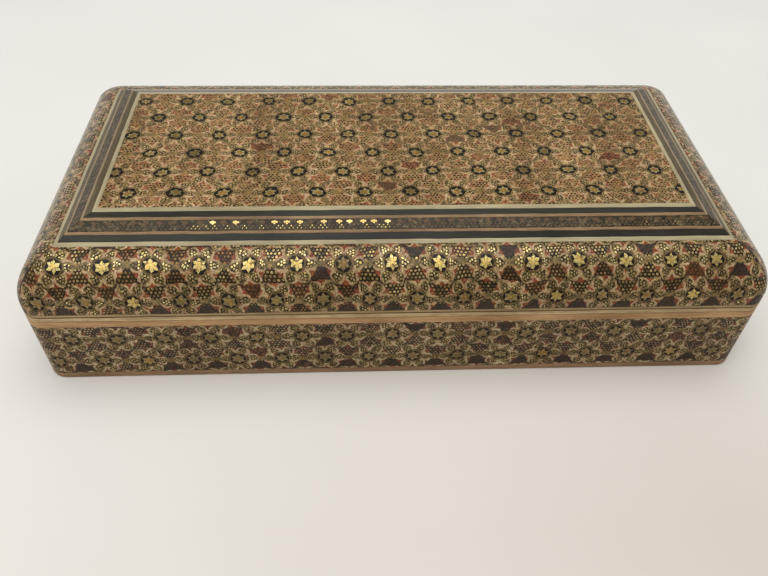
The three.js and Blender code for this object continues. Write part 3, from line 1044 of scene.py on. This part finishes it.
def pattern_map(rows, pitch, seed):
    """Where a sheet's point falls in the khatam pattern. Rows of stars keep their own
    places along the sheet, and the strips waver a little as hand work does."""
    shifts = [star - pitch / 2 * (number % 2) for number, (distance, star) in enumerate(rows)]
    base = shifts[0]
    shifts = [base + (shift - base + pitch / 2) % pitch - pitch / 2 for shift in shifts]

    def place(u, v):
        number = 0
        while number < len(rows) - 2 and v > rows[number + 1][0]:
            number += 1
        start = rows[number][0]
        end = rows[number + 1][0]
        share = (v - start) / (end - start)
        eased = min(max((share - 0.25) / 0.5, 0.0), 1.0)
        eased = eased * eased * (3 - 2 * eased)
        shift = shifts[number] + (shifts[number + 1] - shifts[number]) * eased
        x = u / STRIP_WAVER_LENGTH
        y = v / STRIP_WAVER_DEPTH
        waver_u = noise.noise(Vector((x, y, seed))) * STRIP_WAVER
        waver_v = noise.noise(Vector((x, y, seed + 9))) * STRIP_WAVER
        pattern_u = (u - shift) / pitch * STAR_PITCH + waver_u
        return pattern_u, (number + share) * ROW_PITCH + waver_v

    return place


def shoulder_point(turn, depth):
    """One point of the lid's round shoulder, set in from its surface by a depth, with the
    radius of the corners there. They sharpen to a mitre near the crown."""
    cosine = math.cos(turn)
    sine = math.sin(turn)
    slope = math.hypot(SHOULDER_RISE * cosine, SHOULDER_RUN * sine)
    base = BODY_HEIGHT + SEAM_GAP + UPRIGHT_HEIGHT
    inset = SHOULDER_RUN - cosine * (SHOULDER_RUN - depth * SHOULDER_RISE / slope)
    z = base + sine * (SHOULDER_RISE - depth * SHOULDER_RUN / slope)
    surface_radius = CORNER_RADIUS * (1 - (1 - cosine) ** CROWN_SHARPENING)
    radius = surface_radius - (inset - SHOULDER_RUN * (1 - cosine))
    return inset, z, max(radius, MITRE_RADIUS)


def shoulder_section():
    """The lid sheet's outline, from the crown down its outside and back up within."""
    turns = [math.pi / 2 * index / SHOULDER_TURNS for index in range(SHOULDER_TURNS + 1)]
    low = BODY_HEIGHT + SEAM_GAP + LID_STRIP_HEIGHT
    outer = [shoulder_point(turn, 0) for turn in reversed(turns)]
    inner = [shoulder_point(turn, SHEET_THICKNESS) for turn in turns[::2]]
    upright = [(0.0, low + UPRIGHT_HEIGHT / 3), (0.0, low + EDGE_ROUNDING)]
    foot = [(EDGE_ROUNDING, low), (SHEET_THICKNESS, low)]
    return outer + upright + foot + inner


def wall_section():
    """The body sheet's outline, from its top edge down its outside and back up."""
    low = BASE_EDGING_HEIGHT
    high = BODY_HEIGHT - RIM_BONE_HEIGHT - RIM_JOINT - RIM_WOOD_HEIGHT
    steps = range(1, WALL_STEPS)
    outer = [(0.0, high - (high - low) * index / WALL_STEPS) for index in steps]
    top = [(SHEET_THICKNESS, high), (EDGE_ROUNDING, high), (0.0, high - EDGE_ROUNDING)]
    foot = [(0.0, low + EDGE_ROUNDING), (EDGE_ROUNDING, low), (SHEET_THICKNESS, low)]
    return top[1:] + outer + foot + top[:1]


def khatam_sheets(prefix, body, section, rows, pitch, materials):
    """One sheet for each side, with its rows of stars slid along on the ends."""
    for number, side in enumerate(SIDES):
        slide = 0 if side in ("front", "back") else number * SIDE_SLIDE
        slid = [(distance, star + slide) for distance, star in rows]
        place = pattern_map(slid, pitch, 3.0 + number * 17)
        shape = Shape()
        sweep_side(shape, side, steady(section), KHATAM_STEP, place)
        name = f"{prefix}_{side}"
        shape.piece(f"{name}_dressed", body, "khatam", [name], [materials[side]])


def joint_places():
    """The lines between the frames: inset and height of each, outermost first."""
    inset = SHOULDER_RUN
    z = BODY_HEIGHT + SEAM_GAP + UPRIGHT_HEIGHT + SHOULDER_RISE
    places = [(inset, z)]
    for node, finish, run, rise in FRAME_STRIPS:
        inset += run
        z += rise
        places.append((inset, z))
    return places


def joint_waver(joint, side, station):
    """How far a joint between two frames strays, steady at its mitres. The outermost and
    the innermost joint don't stray."""
    if joint in (0, len(FRAME_STRIPS)):
        return 0.0
    share = station[0]
    run = side_run(side) / 2
    side_number = list(SIDES).index(side)
    spot = Vector((share * run / JOINT_WAVER_LENGTH, joint * 3.7, side_number * 5.3))
    steadied = min(1.0, (1 - abs(share)) * run / JOINT_STEADY_END)
    return noise.noise(spot) * JOINT_WAVER * 2 * steadied


def frame_strips(finishes):
    """The seven frames, each one mitred ring."""
    joints = joint_places()
    endings = list(STRIP_COATS)
    for number, (node, finish, run, rise) in enumerate(FRAME_STRIPS):
        slope = rise / run

        def section_at(side, station):
            tops = []
            for joint in (number, number + 1):
                inset, z = joints[joint]
                stray = joint_waver(joint, side, station)
                tops.append((inset + stray, z + stray * slope))
            outer, inner = tops
            feet = [(inset, z - SHEET_THICKNESS) for inset, z in tops]
            roundings = [INNER_ROUNDING, INNER_ROUNDING, EDGE_ROUNDING, EDGE_ROUNDING]
            return rounded([*feet, inner, outer], roundings)

        # Measured across the strip's top, from its outer edge
        around = 2 * math.hypot(run, rise) + SHEET_THICKNESS

        def top_map(u, v):
            return u, around - v

        shape = Shape()
        for side in SIDES:
            ending = endings.index(STRIPS_OF[side])
            sweep_side(shape, side, section_at, STRIP_STEP / 2, top_map, ending)
        materials = [finishes[f"{finish}_{ending}"] for ending in endings]
        slot = "strip_wood" if finish == "line" else finish
        shape.piece(f"{node}_dressed", "lid", slot, [node], materials)


def panel_piece(finishes):
    """The flat khatam panel, a fine grid with a softened edge."""
    inset, top = joint_places()[-1]
    half_x = BOX_LENGTH / 2 - inset
    half_y = BOX_DEPTH / 2 - inset
    columns = round(2 * half_x / KHATAM_STEP)
    rows = round(2 * half_y / KHATAM_STEP)
    place = pattern_map(PANEL_ROWS, PANEL_PITCH, 71.0)

    def level(narrowing, z):
        width = half_x - narrowing
        depth = half_y - narrowing

        def point_at(column, row):
            x = -width + 2 * width * column / columns
            y = -depth + 2 * depth * row / rows
            return x * MM, (y + REAR_SHIFT) * MM, z * MM

        return point_at

    def map_at(column, row):
        return place(-half_x + 2 * half_x * column / columns, 2 * half_y * row / rows)

    face = level(EDGE_ROUNDING, top)
    edge = level(0, top - EDGE_ROUNDING)
    back = level(0, top - SHEET_THICKNESS)
    shape = Shape()
    shape.board(columns, rows, [face, edge, back], map_at)
    shape.piece("lid_panel_dressed", "lid", "khatam", ["lid_panel"], [finishes["panel_khatam"]])


def padded_board(name, node, body, facing, material):
    """A card covered in velvet over thin wadding: its face swells a little, and its edges
    roll over. Facing is 1 for a face that looks up and -1 for one that looks down."""
    low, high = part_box(node)
    back = low.z if facing > 0 else high.z
    thickness = abs(high.z - low.z)
    swell = PAD_SWELL * MM

    def back_point(column, row):
        x = low.x + (high.x - low.x) * column / PAD_COLUMNS
        y = low.y + (high.y - low.y) * row / PAD_ROWS
        return x, y, back

    def face_point(column, row):
        x, y, z = back_point(column, row)
        edge = min(x - low.x, high.x - x, y - low.y, high.y - y)
        share = min(edge / (PAD_ROLL * MM), 1.0)
        height = thickness * (0.35 + 0.65 * math.sqrt(1 - (1 - share) ** 2))
        length = PAD_WAVE_LENGTH * MM
        wave = noise.noise(Vector((x / length, y / length, facing * 3.0)))
        height += swell * share * (0.4 + 0.6 * wave) - swell * 0.6
        return x, y, z + facing * height

    def map_at(column, row):
        x, y, z = back_point(column, row)
        return x / MM, y / MM

    shape = Shape()
    shape.board(PAD_COLUMNS, PAD_ROWS, [face_point, back_point], map_at, facing)
    made = shape.piece(name, body, "velvet", [node], [material], 60)
    return made


def padded_band(name, node, body, material):
    """Velvet-covered card round the inside of the walls, with a rolled free edge."""
    low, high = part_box(node)
    inset = BOX_LENGTH / 2 - high.x / MM
    section = rectangle(inset, LINING_WIDTH, low.z / MM, high.z / MM)
    outline = rounded(section, LINING_ROUNDINGS, 4)
    shape = Shape()
    for side in SIDES:
        sweep_side(shape, side, steady(outline), STRIP_STEP)
    made = shape.piece(name, body, "velvet", [node], [material], 60)
    return made


def dress_node(node, material):
    """Gives a carried-over node its finish."""
    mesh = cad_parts[node].data
    mesh.materials.clear()
    mesh.materials.append(material)


def make_finishes():
    """Every finish by its name. Woods and bones come once for each kind of strip."""
    finishes = {}
    for ending, coat in STRIP_COATS.items():
        along = "y" if ending == "y" else "x"
        for kind, (light, dark, roughness, ring, stretch) in GRAINS.items():
            # Strips at the sides and back take paler tones: a painted reflection of the room in
            # their lacquer
            if ending != "x":
                light, dark = PAINTED_SHEEN_TONES.get(kind, (light, dark))
            name = f"{kind}_{ending}"
            tones = (shade(*light), shade(*dark))
            fixed = None if kind == "core" else lacquer(coat)
            shade_and_dirt_height = SEAM_SHADE_AND_DIRT_HEIGHT if kind == "lip" else 0
            finishes[name] = grain_finish(
                name, along, *tones, roughness, ring, stretch, fixed, shade_and_dirt_height
            )
        name = f"fine_khatam_{ending}"
        finishes[name] = fine_khatam_finish(name, PAINTED_GLINT_REACH if ending == "x" else 0, coat)
    sheets = [
        ("panel_khatam", PANEL_LOOK, THIN_COAT, False),
        ("shoulder_khatam", SHOULDER_LOOK, THIN_COAT, True),
        ("end_khatam", END_LOOK, END_COAT, False),
        ("wall_khatam", WALL_LOOK, THIN_COAT, True),
    ]
    for name, look, coat, has_fades in sheets:
        finishes[name] = khatam_finish(name, look, coat, has_fades)
    finishes["velvet"] = velvet_finish("velvet")
    finishes["brass"] = brass_finish("brass")
    return finishes


def make_body(finishes):
    bone_base = BODY_HEIGHT - RIM_BONE_HEIGHT
    wood_top = bone_base - RIM_JOINT
    wood_base = wood_top - RIM_WOOD_HEIGHT
    foot = (EDGE_ROUNDING, FOOT_ROUNDING)
    edges = (EDGE_ROUNDING, EDGE_ROUNDING)
    lip = (RIM_LIP_ROUNDING, EDGE_ROUNDING)
    plain = SIDES_WITHOUT_HINGES
    lengths = [
        ("base_edging", "edging", "strip_wood", 0, BASE_EDGING_HEIGHT, foot, SIDES),
        ("rim_wood", "rim", "strip_wood", wood_base, wood_top, edges, SIDES),
        ("rim_bone", "rim_bone", "bone", bone_base, BODY_HEIGHT, lip, plain),
    ]
    for prefix, finish, slot, low, high, roundings, sides in lengths:
        strips(prefix, finish, slot, "box_body", low, high, roundings, finishes, sides)
    walls = dict.fromkeys(SIDES, finishes["wall_khatam"])
    khatam_sheets("body_khatam", "box_body", wall_section(), WALL_ROWS, WALL_PITCH, walls)
    dress_node("rim_bone_back", finishes["rim_bone_x"])
    dress_node("bottom_board", finishes["core_x"])
    for side in SIDES:
        dress_node(f"wall_{side}", grain_of(finishes, "core", side))
    padded_board("floor_velvet", "floor_lining", "box_body", 1, finishes["velvet"])
    padded_band("wall_velvet", "body_side_lining", "box_body", finishes["velvet"])


def make_lid(finishes):
    low = BODY_HEIGHT + SEAM_GAP
    high = low + LID_STRIP_HEIGHT
    edges = (EDGE_ROUNDING, LID_LIP_ROUNDING)
    plain = SIDES_WITHOUT_HINGES
    strips("lid_strip", "lip", "strip_wood", "lid", low, high, edges, finishes, plain)
    shoulders = dict.fromkeys(SIDES, finishes["end_khatam"])
    shoulders["front"] = finishes["shoulder_khatam"]
    section = shoulder_section()
    khatam_sheets("lid_khatam", "lid", section, SHOULDER_ROWS, SHOULDER_PITCH, shoulders)
    frame_strips(finishes)
    panel_piece(finishes)
    dress_node("lid_strip_back", finishes["lip_x"])
    dress_node("lid_top_board", finishes["core_x"])
    for side in SIDES:
        dress_node(f"lid_rail_{side}", grain_of(finishes, "core", side))
    padded_board("ceiling_velvet", "lid_top_lining", "lid", -1, finishes["velvet"])
    padded_band("lid_velvet", "lid_side_lining", "lid", finishes["velvet"])


def make_hinges(finishes):
    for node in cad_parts:
        if "hinge" in node:
            dress_node(node, finishes["brass"])


def make_camera():
    pitch = math.radians(CAMERA_PITCH)
    yaw = math.radians(CAMERA_YAW)
    roll = math.radians(CAMERA_ROLL)
    ahead = Vector(
        (math.sin(yaw) * math.cos(pitch), math.cos(yaw) * math.cos(pitch), -math.sin(pitch))
    )
    level = ahead.cross(Vector((0, 0, 1))).normalized()
    above = level.cross(ahead)
    right = level * math.cos(roll) + above * math.sin(roll)
    up = above * math.cos(roll) - level * math.sin(roll)
    data = bpy.data.cameras.new("camera")
    data.sensor_width = SENSOR_WIDTH
    data.sensor_fit = "HORIZONTAL"
    data.lens = SENSOR_WIDTH * FOCAL_PIXELS / PHOTO_WIDTH
    data.clip_start = 0.01
    camera = bpy.data.objects.new("camera", data)
    bpy.context.scene.collection.objects.link(camera)
    turned = Matrix((right, up, -ahead)).transposed().to_4x4()
    camera.matrix_world = Matrix.Translation(CAMERA_PLACE) @ turned
    bpy.context.scene.camera = camera


def make_window():
    """The soft light of a window, high over the box and a little in front of it."""
    data = bpy.data.lights.new("window", "AREA")
    data.shape = "RECTANGLE"
    data.size, data.size_y = WINDOW_SIZE
    data.energy = WINDOW_POWER
    lamp = bpy.data.objects.new("window", data)
    bpy.context.scene.collection.objects.link(lamp)
    aim = Vector(WINDOW_TARGET) - Vector(WINDOW_PLACE)
    turned = aim.to_track_quat("-Z", "Y").to_matrix().to_4x4()
    lamp.matrix_world = Matrix.Translation(WINDOW_PLACE) @ turned


def make_stage():
    """The table top and the room's own light."""
    cells = range(TABLE_CELLS + 1)
    ticks = [TABLE_HALF * (2 * index / TABLE_CELLS - 1) for index in cells]
    points = [(x, y, 0.0) for y in ticks for x in ticks]
    mesh = bpy.data.meshes.new("table_top")
    mesh.from_pydata(points, [], grid_faces(TABLE_CELLS, TABLE_CELLS))
    mesh.materials.append(floor_finish("table_top"))
    floor = bpy.data.objects.new("table_top", mesh)
    bpy.context.scene.collection.objects.link(floor)
    world = bpy.data.worlds.new("room")
    world.use_nodes = True
    room = Finish.of_tree(world.node_tree)
    background = world.node_tree.nodes["Background"]
    y, z = room.parts(room.node("ShaderNodeTexCoord", {}, {}, 0))[1:]
    low_band = (1 - abs(z - ROOM_BAND_PLACE) * ROOM_BAND_FALL).at_least(0)
    behind = (y * 1.5 + 0.7).at_least(0).at_most(1)
    strength = low_band * behind * ROOM_BAND_LIGHT + ROOM_LIGHT
    world.node_tree.links.new(strength.socket, background.inputs["Strength"])
    background.inputs["Color"].default_value = (1.0, 1.0, 1.0, 1)
    bpy.context.scene.world = world
    bpy.context.scene.view_settings.view_transform = "Standard"


finishes = make_finishes()
make_camera()
make_stage()
make_window()
make_body(finishes)
make_lid(finishes)
make_hinges(finishes)
